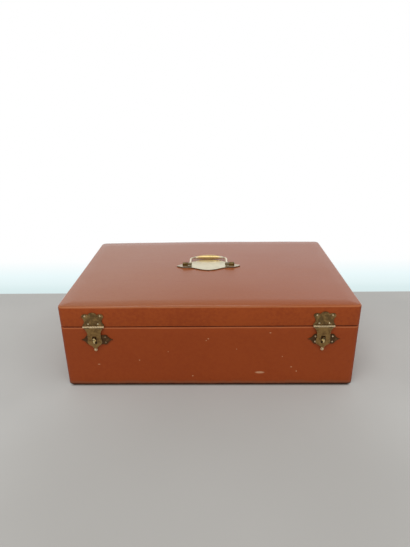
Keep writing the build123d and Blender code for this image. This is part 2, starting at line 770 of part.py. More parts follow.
def build_pieces():
    """Every node of the case by name."""
    pieces = {}
    pieces.update(base_boards())
    pieces["base_leather_wrap"] = base_leather_wrap()
    pieces["base_bottom_cover"] = base_bottom_cover()
    pieces["base_wall_lining"] = base_wall_lining()
    pieces["base_floor_lining"] = base_floor_lining()
    pieces["rack_rail_front"] = rack_rail(-rail_half_spacing)
    pieces["rack_rail_back"] = rack_rail(rail_half_spacing)
    pieces["compartment_partition"] = compartment_partition()
    pieces.update(lid_boards())
    pieces["lid_leather_wrap"] = lid_leather_wrap()
    pieces["lid_wall_lining"] = lid_wall_linings()
    pieces["lid_top_lining"] = lid_top_lining()
    odd = range(0, hinge_knuckles, 2)
    even = range(1, hinge_knuckles, 2)
    for side, centre_x in hinge_centres.items():
        pieces[f"hinge_base_leaf_{side}"] = hinge_leaf(centre_x, odd, False)
        pieces[f"hinge_lid_leaf_{side}"] = hinge_leaf(centre_x, even, True)
        half = hinge_length / 2
        pieces[f"hinge_pin_{side}"] = bar_along_x(
            hinge_pin_radius, centre_x - half, centre_x + half, hinge_axis_y, hinge_axis_z
        )
    pieces["hinge_base_screws"] = hinge_screws(False)
    pieces["hinge_lid_screws"] = hinge_screws(True)
    for side in latch_centres:
        pieces[f"hasp_plate_{side}"] = hasp_plate(side)
        pieces[f"hasp_leaf_{side}"] = hasp_leaf(side)
        pieces[f"hasp_pin_{side}"] = hasp_pin(side)
        pieces[f"catch_plate_{side}"] = catch_plate(side)
        pieces[f"turn_button_{side}"] = turn_button(side)
    pieces["hasp_plate_nails"] = [
        nail for side in latch_centres for nail in latch_nails(lid_nail_plane(side), lid_nail_points)
    ]
    pieces["catch_plate_nails"] = [
        nail for side in latch_centres for nail in latch_nails(catch_nail_plane(side), catch_nail_points)
    ]
    pieces["handle_plate"] = handle_plate()
    pieces["handle_boss_left"] = handle_boss(-1)
    pieces["handle_boss_right"] = handle_boss(1)
    pieces["handle_washers"] = handle_washers()
    pieces["handle_nuts"] = handle_nuts()
    pieces["handle_bail"] = handle_bail()
    return pieces


os.makedirs("parts", exist_ok=True)
for name, piece in build_pieces().items():
    solids = piece if isinstance(piece, list) else [piece]
    whole = Compound(children=[solid for item in solids for solid in item.solids()])
    export_step(whole, f"parts/{name}.step")
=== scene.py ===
import bpy
import math
from mathutils import Matrix, Vector, noise


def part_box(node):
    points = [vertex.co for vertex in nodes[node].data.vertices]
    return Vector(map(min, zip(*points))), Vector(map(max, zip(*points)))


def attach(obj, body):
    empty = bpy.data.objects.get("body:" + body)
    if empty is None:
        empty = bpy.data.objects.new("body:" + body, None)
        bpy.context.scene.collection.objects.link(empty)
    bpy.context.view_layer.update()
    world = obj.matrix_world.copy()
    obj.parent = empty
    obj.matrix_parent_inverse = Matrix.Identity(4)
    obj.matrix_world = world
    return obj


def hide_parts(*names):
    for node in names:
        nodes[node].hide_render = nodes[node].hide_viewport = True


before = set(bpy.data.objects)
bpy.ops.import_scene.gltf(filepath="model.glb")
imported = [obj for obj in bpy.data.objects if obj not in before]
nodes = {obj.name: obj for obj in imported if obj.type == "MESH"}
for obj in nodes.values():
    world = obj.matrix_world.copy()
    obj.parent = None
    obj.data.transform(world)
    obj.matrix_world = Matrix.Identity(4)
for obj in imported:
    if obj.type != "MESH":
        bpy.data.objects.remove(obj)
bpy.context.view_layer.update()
print("frame loaded:", len(nodes), "nodes")

mm = 0.001


# Shader tools: a socket that takes part in Python expressions, and a material that makes nodes

class Value:
    def __init__(self, paint, socket):
        self.paint = paint
        self.socket = socket

    def __add__(self, other): return self.paint.math("ADD", self, other)
    def __radd__(self, other): return self.paint.math("ADD", other, self)
    def __sub__(self, other): return self.paint.math("SUBTRACT", self, other)
    def __rsub__(self, other): return self.paint.math("SUBTRACT", other, self)
    def __mul__(self, other): return self.paint.math("MULTIPLY", self, other)
    def __rmul__(self, other): return self.paint.math("MULTIPLY", other, self)
    def __truediv__(self, other): return self.paint.math("DIVIDE", self, other)
    def __abs__(self): return self.paint.math("ABSOLUTE", self)


class Paint:
    def __init__(self, name, **constants):
        self.material = bpy.data.materials.new(name)
        self.material.use_nodes = True
        self.tree = self.material.node_tree
        self.tree.nodes.clear()
        self.output = self.tree.nodes.new("ShaderNodeOutputMaterial")
        self.shader = self.tree.nodes.new("ShaderNodeBsdfPrincipled")
        self.tree.links.new(self.shader.outputs[0], self.output.inputs["Surface"])
        self.place = self.node("TexCoord", output="Object")
        parts = self.node("SeparateXYZ", inputs={"Vector": self.place})
        self.x, self.y, self.z = [Value(self, out) for out in parts.socket.node.outputs]
        for socket, constant in constants.items():
            self.shader.inputs[socket.replace("_", " ")].default_value = constant

    def feed(self, socket, value):
        if isinstance(value, Value):
            self.tree.links.new(value.socket, socket)
        else:
            socket.default_value = value

    def node(self, kind, settings=None, inputs=None, output=0):
        made = self.tree.nodes.new("ShaderNode" + kind)
        for name, value in (settings or {}).items():
            if name == "stops":
                ramp = made.color_ramp
                while len(ramp.elements) < len(value):
                    ramp.elements.new(0.5)
                for element, (position, shade) in zip(ramp.elements, value):
                    element.position = position
                    element.color = shade
            else:
                setattr(made, name, value)
        for name, value in (inputs or {}).items():
            self.feed(made.inputs[name], value)
        return Value(self, made.outputs[output])

    def math(self, operation, *values):
        return self.node("Math", {"operation": operation}, dict(enumerate(values)))

    def low(self, value, other):
        return self.math("MINIMUM", value, other)

    def high(self, value, other):
        return self.math("MAXIMUM", value, other)

    def step(self, value, start, end):
        # from 0 to 1 while the value goes from start to end
        span = {"Value": value, "From Min": start, "From Max": end}
        return self.node("MapRange", {"interpolation_type": "SMOOTHSTEP"}, span)

    def noise(self, scale, detail=3.0, roughness=0.55, stretch=(1, 1, 1), shift=0.0):
        moved = self.node("Mapping", inputs={
            "Vector": self.place, "Scale": stretch, "Location": (shift, shift * 0.7, shift * 1.3)})
        return self.node("TexNoise", inputs={
            "Vector": moved, "Scale": scale, "Detail": detail, "Roughness": roughness})

    def cells(self, scale, feature="F1", warp=0.0):
        # pebbled or cracked cells, with their borders shaken by the warp
        place = self.place
        if warp:
            source = {"Vector": self.place, "Scale": scale * 0.6}
            shaken = self.node("TexNoise", inputs=source, output="Color")
            moved = self.node("VectorMath", {"operation": "SCALE"}, {0: shaken, "Scale": warp})
            place = self.node("VectorMath", {"operation": "ADD"}, {0: self.place, 1: moved})
        return self.node("TexVoronoi", {"feature": feature}, {"Vector": place, "Scale": scale}, "Distance")

    def mix(self, factor, first, second):
        colours = {0: factor, 6: first, 7: second}
        return self.node("Mix", {"data_type": "RGBA"}, colours, output=2)

    def bump(self, height, distance, strength=1.0, normal=None):
        inputs = {"Height": height, "Distance": distance, "Strength": strength}
        if normal:
            inputs["Normal"] = normal
        return self.node("Bump", inputs=inputs)

    def use(self, **links):
        for socket, value in links.items():
            self.feed(self.shader.inputs[socket.replace("_", " ")], value)
        return self.material


def colour(red, green, blue):
    return (red, green, blue, 1.0)


# Leather over the boards

leatherLook = {
    "deep": colour(0.265, 0.0415, 0.0038),
    "plain": colour(0.322, 0.0575, 0.0058),
    "faded": colour(0.315, 0.070, 0.0050),
    "dusty": colour(0.320, 0.098, 0.0240),
    # rubbed wear, also used as a painted highlight on the rounded rim and top edge
    "rubbed": colour(0.55, 0.20, 0.075),
    # dark colour of the painted shade in the seam and at the foot, with grime at the foot
    "shadeAndGrime": colour(0.055, 0.009, 0.002),
    # dust, also a painted shade near the table
    "dustAndShade": colour(0.20, 0.085, 0.040),
    "scuff": colour(0.62, 0.36, 0.20),
    "grainSize": 1.0 * mm,
    "grainDepth": 0.08 * mm,
    "waveDepth": 0.4 * mm,
    "roughness": 0.46,
    "polish": 0.72,
    "polishRoughness": 0.24,
    "dustyTo": -0.22,  # across the lid, the polish goes from dusty on the left to faded on the right
    "fadedFrom": 0.16,
    "lineEnd": (1.8 * mm, 2.8 * mm),  # how far in from the outside the worn, dirty and painted light and shade lines end
    "frontFace": -0.140,
    "scuffStrength": 0.6,
}
scuffMarks = [  # x, z on the front face and half sizes, all in millimetres
    (-1.0, 79.5, 1.4, 1.0), (-4.0, 76.6, 1.0, 0.8), (-164.0, 36.5, 2.2, 1.0), (-103.0, 43.5, 1.0, 1.0),
    (121.0, 31.0, 1.6, 1.0), (129.0, 23.5, 1.0, 1.4), (88.0, 89.0, 1.4, 0.8), (107.0, 49.0, 0.9, 0.9),
    (75.0, 21.5, 7.5, 2.0), (-25.0, 15.5, 1.4, 1.0), (40.0, 62.0, 0.8, 0.8), (-60.0, 58.0, 0.7, 1.1),
]


def leatherPaint(name, lines, marks=(), polishedAbove=None, paleness=1.0):
    # lines: level, half width, strength and colour of each line round the outside of the case
    look = leatherLook
    paint = Paint(name, IOR=1.45, Specular_IOR_Level=0.3, Coat_IOR=1.5,
                  Coat_Roughness=look["polishRoughness"])
    broad = paint.noise(9, 4, 0.55)
    fine = paint.noise(230, 3, 0.6, shift=3.0)
    pores = paint.cells(1 / look["grainSize"], warp=0.35 * look["grainSize"])
    creases = paint.cells(0.62 / look["grainSize"], "DISTANCE_TO_EDGE", warp=0.5 * look["grainSize"])
    clouds = paint.step(broad * 0.5 + fine * 0.5, 0.38, 0.62)
    tone = paint.mix(clouds * paleness, look["deep"], look["plain"])
    if polishedAbove:
        polish = paint.step(paint.z, polishedAbove - 1.5 * mm, polishedAbove + 0.5 * mm)
        streaks = paint.noise(70, 4, 0.6, stretch=(0.10, 1, 1), shift=12.0)
        across = paint.step(paint.x + (streaks - 0.5) * 0.3, look["dustyTo"], look["fadedFrom"])
        handled = paint.mix(across, look["dusty"], look["faded"])
        tone = paint.mix(polish * (0.65 + fine * 0.4), tone, handled)
    tone = paint.mix((1 - paint.step(creases, 0.0, 0.16)) * 0.2, tone, look["deep"])
    patches = paint.noise(55, 4, 0.65, shift=5.0)
    inward = paint.low(baseCadHigh.x - abs(paint.x), baseCadHigh.y - abs(paint.y))
    outer = 1 - paint.step(inward, *look["lineEnd"])
    for level, halfWidth, strength, shade in lines:
        distance = abs(paint.z - level) + (patches - 0.5) * halfWidth
        near = 1 - paint.step(distance, halfWidth * 0.6, halfWidth * 1.4)
        tone = paint.mix(near * outer * strength, tone, look[shade])
    for x, z, halfX, halfZ in marks:
        sideways = (paint.x - x * mm) / (halfX * mm)
        upwards = (paint.z - z * mm) / (halfZ * mm)
        spot = 1 - paint.step(sideways * sideways + upwards * upwards + patches * 1.2, 0.7, 1.9)
        front = 1 - paint.step(paint.y, look["frontFace"] - 0.5 * mm, look["frontFace"] + 0.5 * mm)
        tone = paint.mix(spot * front * look["scuffStrength"], tone, look["scuff"])
    height = paint.step(pores, 0.0, 0.75) * 0.6 + paint.step(creases, 0.0, 0.2) * 0.5 + fine * 0.4
    grain = paint.bump(height, look["grainDepth"], 0.7)
    waves = paint.bump(paint.noise(26, 2, 0.5, shift=9.0), look["waveDepth"], 0.5, grain)
    rough = look["roughness"] + broad * 0.14 + (1 - paint.step(creases, 0.0, 0.2)) * 0.1
    if polishedAbove:
        paint.use(Coat_Weight=polish * (look["polish"] + broad * 0.2 + streaks * 0.32))
    return paint.use(Base_Color=tone, Roughness=rough, Normal=waves)


# Metals

brassLook = {
    # dark and light tarnish, rubbed parts, how much is rubbed
    "plate": (colour(0.125, 0.072, 0.025), colour(0.245, 0.152, 0.060), colour(0.58, 0.36, 0.14), 0.35),
    "leaf": (colour(0.14, 0.074, 0.024), colour(0.26, 0.148, 0.054), colour(0.44, 0.27, 0.10), 0.45),
    "catch": (colour(0.075, 0.036, 0.014), colour(0.16, 0.082, 0.034), colour(0.36, 0.20, 0.08), 0.25),
    # rubbed edges of the plates, also a painted highlight where their bevels catch light
    "edge": (colour(0.34, 0.23, 0.12), colour(0.55, 0.40, 0.23), colour(0.80, 0.62, 0.40), 0.5),
    # bare brass, also the colour of painted highlights
    "bareAndHighlit": colour(0.74, 0.57, 0.34),
    "agedDepth": 0.12 * mm,
    "polishedDepth": 0.03 * mm,
}


def agedBrassPaint(name, look, bareAndHighlitParts=()):
    # tarnished cast brass: brown in the hollows, yellower where fingers rub it, bare where it rubs on brass
    # the bare parts are also painted highlights: the front of the knuckles and the ball tip
    darkest, lighter, rubbed, share = brassLook[look]
    paint = Paint(name, IOR=1.45)
    clouds = paint.noise(140, 5, 0.65)
    spots = paint.cells(700)
    rub = paint.step(clouds + share - 0.35, 0.42, 0.72)
    tone = paint.mix(paint.noise(420, 3, 0.6, shift=2.0), darkest, lighter)
    tone = paint.mix(rub * 0.75, tone, rubbed)
    tone = paint.mix((1 - paint.step(spots, 0.05, 0.3)) * 0.45, tone, darkest)
    rough = 0.52 - rub * 0.20 + clouds * 0.12
    height = clouds * 0.7 + spots * 0.3
    metal = 0.82 + rub * 0.18
    for part in bareAndHighlitParts:
        bareAndHighlit = part(paint)
        tone = paint.mix(bareAndHighlit * (0.85 + clouds * 0.15), tone, brassLook["bareAndHighlit"])
        rough = rough - bareAndHighlit * 0.16
        height = height * (1 - bareAndHighlit * 0.95)
        metal = metal - bareAndHighlit * 0.22
    relief = paint.bump(height, brassLook["agedDepth"], 0.7)
    return paint.use(Base_Color=tone, Roughness=rough, Metallic=metal, Normal=relief)


def polishedBrassPaint(name, clean, dull, rough, zones=(), metal=1.0):
    # zones: a mask, and the colour and roughness that the brass has there
    paint = Paint(name)
    clouds = paint.noise(120, 4, 0.6)
    lines = paint.noise(900, 2, 0.5, stretch=(0.15, 1, 1))
    tone = paint.mix(paint.step(clouds, 0.45, 0.75) * 0.6, clean, dull)
    finish = rough + clouds * 0.10
    for part, shade, zoneRough in zones:
        inside = part(paint)
        tone = paint.mix(inside * (0.8 + clouds * 0.2), tone, shade)
        finish = finish + inside * (zoneRough - rough)
    relief = paint.bump(lines * 0.5 + clouds * 0.5, brassLook["polishedDepth"], 0.2)
    return paint.use(Base_Color=tone, Roughness=finish, Metallic=metal, Normal=relief)


steelLook = {
    "dark": colour(0.30, 0.29, 0.28),
    "light": colour(0.55, 0.54, 0.52),
    "roughness": 0.30,
    "scratchDepth": 0.02 * mm,
}


def steelPaint(name):
    look = steelLook
    paint = Paint(name)
    lines = paint.noise(700, 3, 0.6, stretch=(0.1, 1, 1))
    tone = paint.mix(lines, look["dark"], look["light"])
    relief = paint.bump(lines, look["scratchDepth"], 0.4)
    return paint.use(Base_Color=tone, Roughness=look["roughness"] + lines * 0.15, Metallic=1.0, Normal=relief)


# Velvet, book cloth and wood

velvetLook = {
    "deep": colour(0.075, 0.010, 0.014),
    "light": colour(0.17, 0.028, 0.034),
    "sheen": 0.5,
    "sheenRoughness": 0.35,
    "roughness": 0.86,
    "pileDepth": 0.15 * mm,
    "streakDepth": 0.12 * mm,
}


def velvetPaint(name):
    look = velvetLook
    paint = Paint(name, Sheen_Weight=look["sheen"], Sheen_Roughness=look["sheenRoughness"],
                  Sheen_Tint=look["light"])
    brushed = paint.noise(14, 3, 0.5, stretch=(1, 0.35, 1))
    streaks = paint.noise(160, 3, 0.6, stretch=(1, 0.12, 1), shift=6.0)
    pile = paint.noise(2400, 2, 0.7)
    nap = paint.step(brushed * 0.4 + streaks * 0.25 + pile * 0.35, 0.30, 0.70)
    tone = paint.mix(nap, look["deep"], look["light"])
    relief = paint.bump(pile, look["pileDepth"], 0.7, paint.bump(streaks, look["streakDepth"], 0.35))
    return paint.use(Base_Color=tone, Roughness=look["roughness"] + pile * 0.1, Normal=relief)


clothLook = {
    "dirty": colour(0.11, 0.035, 0.018),
    "clean": colour(0.17, 0.062, 0.032),
    "thread": colour(0.24, 0.10, 0.055),
    "threadPitch": 0.7 * mm,
    "threadDepth": 0.12 * mm,
    "roughness": 0.82,
}


def bookClothPaint(name):
    look = clothLook
    paint = Paint(name)
    warp = paint.math("SINE", paint.x * (2 * math.pi / look["threadPitch"]))
    weft = paint.math("SINE", paint.y * (2 * math.pi / look["threadPitch"]))
    weave = warp * weft * 0.5 + 0.5
    dirt = paint.noise(30, 5, 0.65)
    tone = paint.mix(paint.step(dirt, 0.35, 0.7), look["dirty"], look["clean"])
    tone = paint.mix(weave * 0.25, tone, look["thread"])
    relief = paint.bump(weave, look["threadDepth"], 0.6)
    return paint.use(Base_Color=tone, Roughness=look["roughness"] + dirt * 0.1, Normal=relief)


woodLook = {
    "plain": colour(0.50, 0.33, 0.17),
    "pale": colour(0.62, 0.45, 0.26),
    "fibre": colour(0.36, 0.22, 0.11),
    "stain": colour(0.17, 0.032, 0.008),
    "stainStrength": 0.93,
    "stainFade": 0.3 * mm,
    "fibreDepth": 0.08 * mm,
    "roughness": 0.62,
}


def woodPaint(name, stainedBelow=None):
    # below the given level the wood is stained like the velvet beside it
    look = woodLook
    paint = Paint(name)
    fibres = paint.noise(240, 4, 0.6, stretch=(0.06, 1, 1))
    rings = paint.noise(35, 3, 0.5, stretch=(0.12, 1, 1), shift=4.0)
    tone = paint.mix(paint.step(rings, 0.35, 0.65), look["plain"], look["pale"])
    tone = paint.mix(paint.step(fibres, 0.5, 0.8) * 0.4, tone, look["fibre"])
    if stainedBelow:
        fade = look["stainFade"]
        stain = 1 - paint.step(paint.z, stainedBelow - fade, stainedBelow + fade)
        tone = paint.mix(stain * look["stainStrength"], tone, look["stain"])
    relief = paint.bump(fibres, look["fibreDepth"], 0.5)
    return paint.use(Base_Color=tone, Roughness=look["roughness"] + fibres * 0.15, Normal=relief)


# Where on the case the finishes and the painted light and shade change, and all the finishes

wearAndPaintedLight = {
    "rubbedAndHighlitRim": 2.1 * mm,  # how far from the seam the rubbed edge, also a painted highlight, lies
    "rubbedAndHighlitTop": 3.6 * mm,  # how far below the lid's highest point the rubbed line, also a painted highlight, lies
    "polishedTop": 3.0 * mm,
    "knuckleShift": 0.3 * mm,
    "knuckleBand": (0.9 * mm, 1.3 * mm),
    "knuckleDepth": (0.45 * mm, 0.65 * mm),
    "ballHeight": 4.5 * mm,
    "ballFade": 0.4 * mm,
    "leftSideFade": 10.0 * mm,
    "plateWallShade": (0.1 * mm, 0.5 * mm),
    "bailFootShade": (2.2 * mm, 3.4 * mm),
    "bailGrip": (15.0 * mm, 24.0 * mm),
    "plateEars": (31.0 * mm, 38.0 * mm),
    "stainedRim": 1.0 * mm,
}
baseCadLow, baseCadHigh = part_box("base_leather_wrap")
lidCadLow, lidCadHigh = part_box("lid_leather_wrap")
seam = (baseCadHigh.z + lidCadLow.z) / 2
haspPin = sum(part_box("hasp_pin_left"), Vector()) / 2
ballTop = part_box("hasp_leaf_left")[0].z + wearAndPaintedLight["ballHeight"]
handleMiddle = sum(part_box("handle_plate"), Vector()) / 2
bailPivot = sum(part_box("handle_boss_left"), Vector()) / 2


# the front of the hinge knuckles: bare where brass rubs on brass, and a painted highlight
def knuckleRubAndHighlight(paint):
    inBand = 1 - paint.step(abs(paint.z - haspPin.z - wearAndPaintedLight["knuckleShift"]), *wearAndPaintedLight["knuckleBand"])
    near, far = wearAndPaintedLight["knuckleDepth"]
    return inBand * (1 - paint.step(paint.y, haspPin.y + near, haspPin.y + far))


# the ball at the leaf's tip: rubbed by fingers, and a painted highlight
def ballTipRubAndHighlight(paint):
    return 1 - paint.step(paint.z, ballTop - wearAndPaintedLight["ballFade"], ballTop + wearAndPaintedLight["ballFade"])


def awayFromMiddle(reach):
    # from 0 to 1 between two distances from the middle of the handle
    return lambda paint: paint.step(abs(paint.x - handleMiddle.x), *reach)


def leftSide(paint):
    return 1 - paint.step(paint.x, -wearAndPaintedLight["leftSideFade"], wearAndPaintedLight["leftSideFade"])


# the handle plate's edge wall: painted shade
def plateWallShade(paint):
    low, high = wearAndPaintedLight["plateWallShade"]
    return 1 - paint.step(paint.z, handleMiddle.z + low, handleMiddle.z + high)


# the bail's legs near their pivots: painted shade
def bailFootShade(paint):
    near, far = wearAndPaintedLight["bailFootShade"]
    return 1 - paint.step(paint.y, bailPivot.y + near, bailPivot.y + far)


# lines round the leather: level, half width, strength and the colour in leatherLook
baseLines = [
    # rubbed wear below the seam, also a painted highlight along the base's rounded rim
    (seam - wearAndPaintedLight["rubbedAndHighlitRim"], 0.7 * mm, 0.42, "rubbed"),
    # painted shade in the seam between lid and base
    (seam, 0.7 * mm, 0.85, "shadeAndGrime"),
    # towards the bottom: dust, and painted shade near the table
    (0.0, 6.0 * mm, 0.55, "dustAndShade"),
    # painted shadow along the foot where the case stands on the table, with dirt
    (0.0, 2.4 * mm, 0.95, "shadeAndGrime"),
]
lidLines = [
    # painted shade in the seam between lid and base
    (seam, 0.7 * mm, 0.85, "shadeAndGrime"),
    # rubbed wear along the lid's rounded top edge, also a painted highlight
    (lidCadHigh.z - wearAndPaintedLight["rubbedAndHighlitTop"], 1.0 * mm, 0.45, "rubbed"),
]
# polished brass: clean and dull colour, roughness, then the parts with their own colour and roughness
polishedFinishes = {
    "nailBrass": (colour(1.0, 0.85, 0.56), colour(0.86, 0.68, 0.42), 0.34),
    "catchNailBrass": (colour(0.94, 0.76, 0.50), colour(0.60, 0.44, 0.25), 0.36, [
        (leftSide, colour(0.36, 0.26, 0.15), 0.5)]),
    "brightBrass": (colour(0.93, 0.72, 0.36), colour(0.62, 0.42, 0.16), 0.16),
    "bailBrass": (colour(0.90, 0.66, 0.28), colour(0.76, 0.50, 0.17), 0.27, [
        # painted highlight: the grip's ends and the legs are paler
        (awayFromMiddle(wearAndPaintedLight["bailGrip"]), colour(0.84, 0.74, 0.57), 0.24),
        # painted shade at the feet of the legs
        (bailFootShade, colour(0.13, 0.09, 0.035), 0.34)], 0.66),
    "paleBrass": (colour(0.96, 0.89, 0.67), colour(0.84, 0.77, 0.56), 0.27, [
        (awayFromMiddle(wearAndPaintedLight["plateEars"]), colour(0.92, 0.78, 0.62), 0.42),
        # painted shade on the plate's edge wall
        (plateWallShade, colour(0.10, 0.07, 0.05), 0.5)]),
    "darkBrass": (colour(0.24, 0.165, 0.06), colour(0.11, 0.07, 0.025), 0.32),
}
paints = {
    "baseLeather": leatherPaint("baseLeather", baseLines, scuffMarks, paleness=0.4),
    "lidLeather": leatherPaint("lidLeather", lidLines, (), lidCadHigh.z - wearAndPaintedLight["polishedTop"]),
    "plateBrass": agedBrassPaint("plateBrass", "plate", [knuckleRubAndHighlight]),
    "leafBrass": agedBrassPaint("leafBrass", "leaf", [knuckleRubAndHighlight, ballTipRubAndHighlight]),
    "catchBrass": agedBrassPaint("catchBrass", "catch"),
    "hingeBrass": agedBrassPaint("hingeBrass", "plate"),
    "rubbedEdge": agedBrassPaint("rubbedEdge", "edge"),
    **{name: polishedBrassPaint(name, *finish) for name, finish in polishedFinishes.items()},
    "steel": steelPaint("steel"),
    "velvet": velvetPaint("velvet"),
    "bookCloth": bookClothPaint("bookCloth"),
    "wood": woodPaint("wood"),
    "stainedWood": woodPaint("stainedWood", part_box("lid_wall_lining")[0].z + wearAndPaintedLight["stainedRim"]),
}
print("materials made:", len(paints))


# Mesh tools

hair = 1e-6  # two places nearer than this are the same


def deselectAll():
    if bpy.context.object and bpy.context.object.mode != "OBJECT":
        bpy.ops.object.mode_set(mode="OBJECT")
    bpy.ops.object.select_all(action="DESELECT")


def pick(piece):
    deselectAll()
    piece.select_set(True)
    bpy.context.view_layer.objects.active = piece


def settle():
    # the object's own place, turn and size go into its mesh
    bpy.ops.object.transform_apply(location=True, rotation=True, scale=True)


def addBox(low, high):
    deselectAll()
    bpy.ops.mesh.primitive_cube_add(size=1, location=(low + high) / 2)
    box = bpy.context.object
    box.scale = high - low
    settle()
    return box


def joinAll(parts):
    deselectAll()
    for part in parts:
        part.select_set(True)
    bpy.context.view_layer.objects.active = parts[0]
    bpy.ops.object.join()
    return parts[0]


def chooseEdges(piece, test):
    # select the edges whose two ends both pass the test, in edit mode
    bpy.ops.object.mode_set(mode="EDIT")
    bpy.ops.mesh.select_mode(type="EDGE")
    bpy.ops.mesh.select_all(action="DESELECT")
    bpy.ops.object.mode_set(mode="OBJECT")
    points = piece.data.vertices
    for edge in piece.data.edges:
        start, end = [points[index].co for index in edge.vertices]
        edge.select = test(start, end)
    bpy.ops.object.mode_set(mode="EDIT")


def chooseFaces(piece, test):
    bpy.ops.object.mode_set(mode="EDIT")
    bpy.ops.mesh.select_mode(type="FACE")
    bpy.ops.mesh.select_all(action="DESELECT")
    bpy.ops.object.mode_set(mode="OBJECT")
    for face in piece.data.polygons:
        face.select = test(face)
    bpy.ops.object.mode_set(mode="EDIT")


def cutAcross(axis, places):
    # one straight cut right through the active mesh at each place
    bpy.ops.object.mode_set(mode="EDIT")
    for place in places:
        point = [0.0, 0.0, 0.0]
        point[axis] = place
        normal = [0.0, 0.0, 0.0]
        normal[axis] = 1.0
        bpy.ops.mesh.select_all(action="SELECT")
        bpy.ops.mesh.bisect(plane_co=point, plane_no=normal)
    bpy.ops.object.mode_set(mode="OBJECT")


def evenly(start, end, pitch):
    # the places between start and end, without the two ends
    count = max(1, round((end - start) / pitch))
    return [start + (end - start) * step / count for step in range(1, count)]


def applyModifier(piece, kind, **settings):
    pick(piece)
    modifier = piece.modifiers.new(kind.title(), kind)
    for name, value in settings.items():
        setattr(modifier, name, value)
    bpy.ops.object.modifier_apply(modifier=modifier.name)


def finishPiece(piece, name, paintName, body, replaced, smooth=40):
    piece.name = name
    piece.data.name = name
    pick(piece)
    bpy.ops.object.shade_smooth_by_angle(angle=math.radians(smooth))
    piece.data.materials.clear()
    piece.data.materials.append(paints[paintName])
    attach(piece, body)
    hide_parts(*replaced)


mergeSpec = {"joined": 0.002 * mm, "flatAngle": math.radians(1.5)}


def mergedCopy(nodeName):
    # a copy of a CAD node with its loose triangles joined and its flat faces whole again
    piece = nodes[nodeName].copy()
    piece.data = nodes[nodeName].data.copy()
    for key in list(piece.keys()):
        del piece[key]
    piece.parent = None
    bpy.context.scene.collection.objects.link(piece)
    pick(piece)
    bpy.ops.object.mode_set(mode="EDIT")
    bpy.ops.mesh.select_all(action="SELECT")
    bpy.ops.mesh.remove_doubles(threshold=mergeSpec["joined"])
    bpy.ops.mesh.dissolve_limited(angle_limit=mergeSpec["flatAngle"])
    bpy.ops.object.mode_set(mode="OBJECT")
    return piece


def looseParts(nodeName):
    # the corners of the box round each separate body of a node
    mergedCopy(nodeName)
    bpy.ops.mesh.separate(type="LOOSE")
    islands = list(bpy.context.selected_objects)
    boxes = [[Vector(corner) for corner in island.bound_box] for island in islands]
    for island in islands:
        bpy.data.objects.remove(island)
    return boxes


easedSpec = {
    "cornerAngle": math.radians(28),
    "smoothAngle": 25,
    "flatFace": 20 * mm * mm,
    "plateCut": 7.0 * mm,
}


def easedCopy(nodeName, name, paintName, body, slot, width, edgePaint=None):
    # the same piece with its edges eased, as filed or worn metal and velvet over card have them
    piece = mergedCopy(nodeName)
    if nodeName == "handle_plate":
        # the broad plate is cut into squares, because long slivers of it shade unevenly
        low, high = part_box(nodeName)
        cutAcross(0, evenly(low.x, high.x, easedSpec["plateCut"]))
        cutAcross(1, evenly(low.y, high.y, easedSpec["plateCut"]))
    piece.data.materials.clear()
    for slotPaint in (paintName, edgePaint or paintName):
        piece.data.materials.append(paints[slotPaint])
    applyModifier(piece, "BEVEL", width=width, segments=2, limit_method="ANGLE", use_clamp_overlap=True,
                  angle_limit=easedSpec["cornerAngle"], material=1 if edgePaint else 0)
    marks = [face.material_index for face in piece.data.polygons]
    finishPiece(piece, name, paintName, body, [nodeName], easedSpec["smoothAngle"])
    # a broad flat face, and what lies in its plane, is shaded flat so that it mirrors evenly
    faces = piece.data.polygons
    broad = [(face.normal.copy(), face.center.copy()) for face in faces if face.area > easedSpec["flatFace"]]
    for face in faces:
        if any(face.normal.dot(normal) > 0.9999 and abs((face.center - middle).dot(normal)) < 0.01 * mm
               for normal, middle in broad):
            face.use_smooth = False
    if edgePaint:
        piece.data.materials.append(paints[edgePaint])
        for face, mark in zip(faces, marks):
            face.material_index = mark


# The two leather covers

coverSpec = {
    "leather": 1.2 * mm,
    "corner": 8.0 * mm,
    "rim": 9.2 * mm,
    "turnIn": 14.0 * mm,
    "baseRimRound": 1.8 * mm,
    "lidRimRound": 1.2 * mm,
    "footRound": 1.9 * mm,
    "topRound": 2.6 * mm,
    "meshPitch": 11.0 * mm,
    "meshInset": 2.0 * mm,  # from the rounded corners to the first cut
    "meshEnds": 4.0 * mm,  # from the top and bottom to the first cut
    "unevenness": 0.30 * mm,
    "unevenScale": 16,
    "baseSeed": 11,
    "lidSeed": 29,
    "crownAlong": 2.2 * mm,
    "crownDeep": 0.9 * mm,
    "crownStart": 12.0 * mm,
}


def coverBlock(low, high, topRound, bottomRound):
    block = addBox(low, high)
    chooseEdges(block, lambda a, b: abs(a.x - b.x) < hair and abs(a.y - b.y) < hair)
    bpy.ops.mesh.bevel(offset=coverSpec["corner"], segments=6, affect="EDGES")
    for level, radius in ((high.z, topRound), (low.z, bottomRound)):
        chooseEdges(block, lambda a, b: abs(a.z - level) < hair and abs(b.z - level) < hair)
        bpy.ops.mesh.bevel(offset=radius, segments=4, affect="EDGES")
    bpy.ops.object.mode_set(mode="OBJECT")
    return block


def openFace(block, level, rim):
    # inset a flat end face and take its middle out, which leaves the turned-over leather
    chooseFaces(block, lambda face: abs(face.center.z - level) < hair and abs(face.normal.z) > 0.99)
    bpy.ops.mesh.inset(thickness=rim, depth=0)
    bpy.ops.mesh.delete(type="FACE")
    bpy.ops.object.mode_set(mode="OBJECT")


